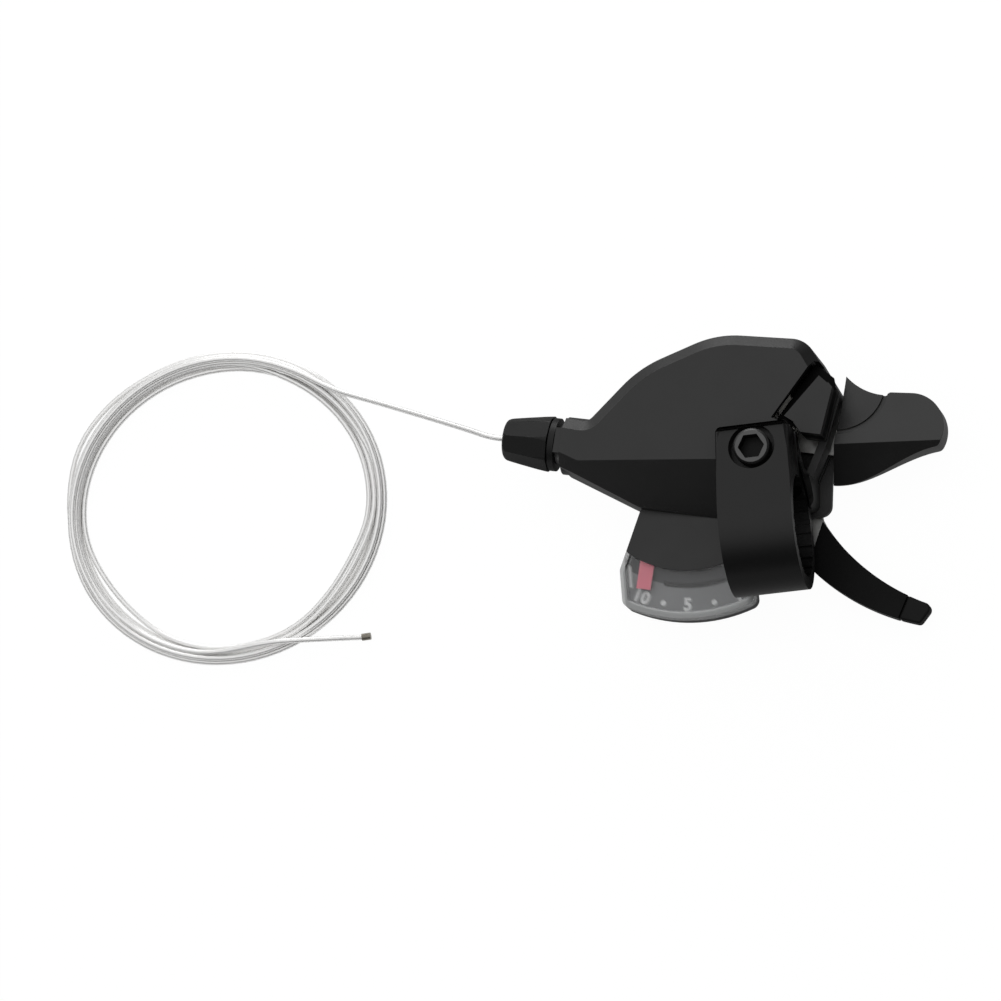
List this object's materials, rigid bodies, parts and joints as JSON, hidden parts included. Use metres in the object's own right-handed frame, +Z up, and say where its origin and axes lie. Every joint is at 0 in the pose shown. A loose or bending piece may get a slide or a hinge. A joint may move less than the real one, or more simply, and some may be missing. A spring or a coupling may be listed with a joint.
{
  "type": "trigger gear shifter",
  "caption": "Right-hand trigger gear shifter with split bar clamp, thumb and finger levers, windowed gear display, cable adjuster and coiled inner cable.",
  "frame": {"origin": "middle of the handlebar clamp's bore", "axes": "+X along the bar towards the grip, +Y forward, +Z up, square to the top cover"},
  "size_m": [0.2043, 0.0834, 0.0393],
  "materials": {
    "band_metal": "satin black anodised band",
    "bolt_steel": "blackened steel",
    "cover_plastic": "satin charcoal moulding",
    "tray_plastic": "satin charcoal moulding",
    "lens_clear": "clear moulded window",
    "scale_grey": "grey printed scale",
    "pointer_plastic": "dark moulding",
    "pointer_red": "red flag",
    "gear_steel": "bare steel",
    "drum_plastic": "pale moulding",
    "lever_plastic": "black moulding",
    "pad_grey": "grey moulding",
    "knob_plastic": "satin charcoal moulding",
    "adjuster_metal": "bare alloy",
    "cable_steel": "bright stranded wire"
  },
  "bodies": {
    "housing": {"clamp_band": "band_metal", "clamp_bolt": "bolt_steel", "clamp_nut": "bolt_steel", "clamp_screws": "bolt_steel", "top_cover": "cover_plastic", "lower_housing": "tray_plastic", "cover_screws": "bolt_steel", "display_lens": "lens_clear", "scale_plate": "scale_grey", "pointer_pin": "gear_steel", "drum_spring": "gear_steel", "main_axle": "gear_steel", "axle_washer": "gear_steel", "axle_nut": "gear_steel", "lever_spring": "gear_steel", "holding_pin": "gear_steel", "adjuster_collar": "knob_plastic", "adjuster_washer": "adjuster_metal", "inner_cable": "cable_steel", "cable_coil": "cable_steel", "cable_tail": "cable_steel", "cable_tip": "cable_steel"},
    "drum": {"winding_drum": "drum_plastic", "ratchet_wheel": "gear_steel", "cable_head": "gear_steel"},
    "pointer": {"pointer": "pointer_plastic", "pointer_flag": "pointer_red"},
    "thumb_lever": {"thumb_arm": "gear_steel", "thumb_cover": "lever_plastic", "thumb_pad": "pad_grey", "winding_pin": "gear_steel"},
    "winding_pawl": {"winding_pawl": "gear_steel"},
    "finger_lever": {"finger_arm": "gear_steel", "finger_pad": "lever_plastic"},
    "holding_pawl": {"holding_pawl": "gear_steel"},
    "adjuster": {"adjuster_knob": "knob_plastic", "adjuster_sleeve": "adjuster_metal"}
  },
  "joints": [
    {"name": "drum_turn", "type": "hinge", "parent": "housing", "child": "drum", "pos_m": [-0.004, 0.02656, -0.0094], "axis": [0, 0, 1], "range_deg": [0, 135], "stiffness_Nm_per_rad": 0.02, "springref_deg": -28.65},
    {"name": "pointer_turn", "type": "hinge", "parent": "housing", "child": "pointer", "pos_m": [-0.0179, 0.0188, -0.0143], "axis": [0, 0, 1], "range_deg": [0, 41.6]},
    {"name": "thumb_push", "type": "hinge", "parent": "housing", "child": "thumb_lever", "pos_m": [-0.004, 0.02656, -0.021], "axis": [0, 0, 1], "range_deg": [0, 30], "stiffness_Nm_per_rad": 0.05, "springref_deg": -22.92},
    {"name": "winding_pawl_drop", "type": "hinge", "parent": "thumb_lever", "child": "winding_pawl", "pos_m": [-0.01261, 0.0163, -0.017], "axis": [0, 0, 1], "range_deg": [0, 8]},
    {"name": "finger_pull", "type": "hinge", "parent": "housing", "child": "finger_lever", "pos_m": [-0.004, 0.02656, -0.0155], "axis": [0, 0, 1], "range_deg": [-10, 0], "stiffness_Nm_per_rad": 0.05, "springref_deg": 22.92},
    {"name": "holding_pawl_drop", "type": "hinge", "parent": "housing", "child": "holding_pawl", "pos_m": [0.00461, 0.03682, -0.017], "axis": [0, 0, 1], "range_deg": [0, 8]},
    {"name": "adjuster_turn", "type": "hinge", "parent": "housing", "child": "adjuster", "pos_m": [-0.0442, 0.02586, -0.0086], "axis": [-0.9728, 0.2317, 0], "range_deg": [-360, 360]}
  ],
  "couplings": [
    {"joint": "pointer_turn", "follows": "drum_turn", "ratio": 0.30815}
  ]
}
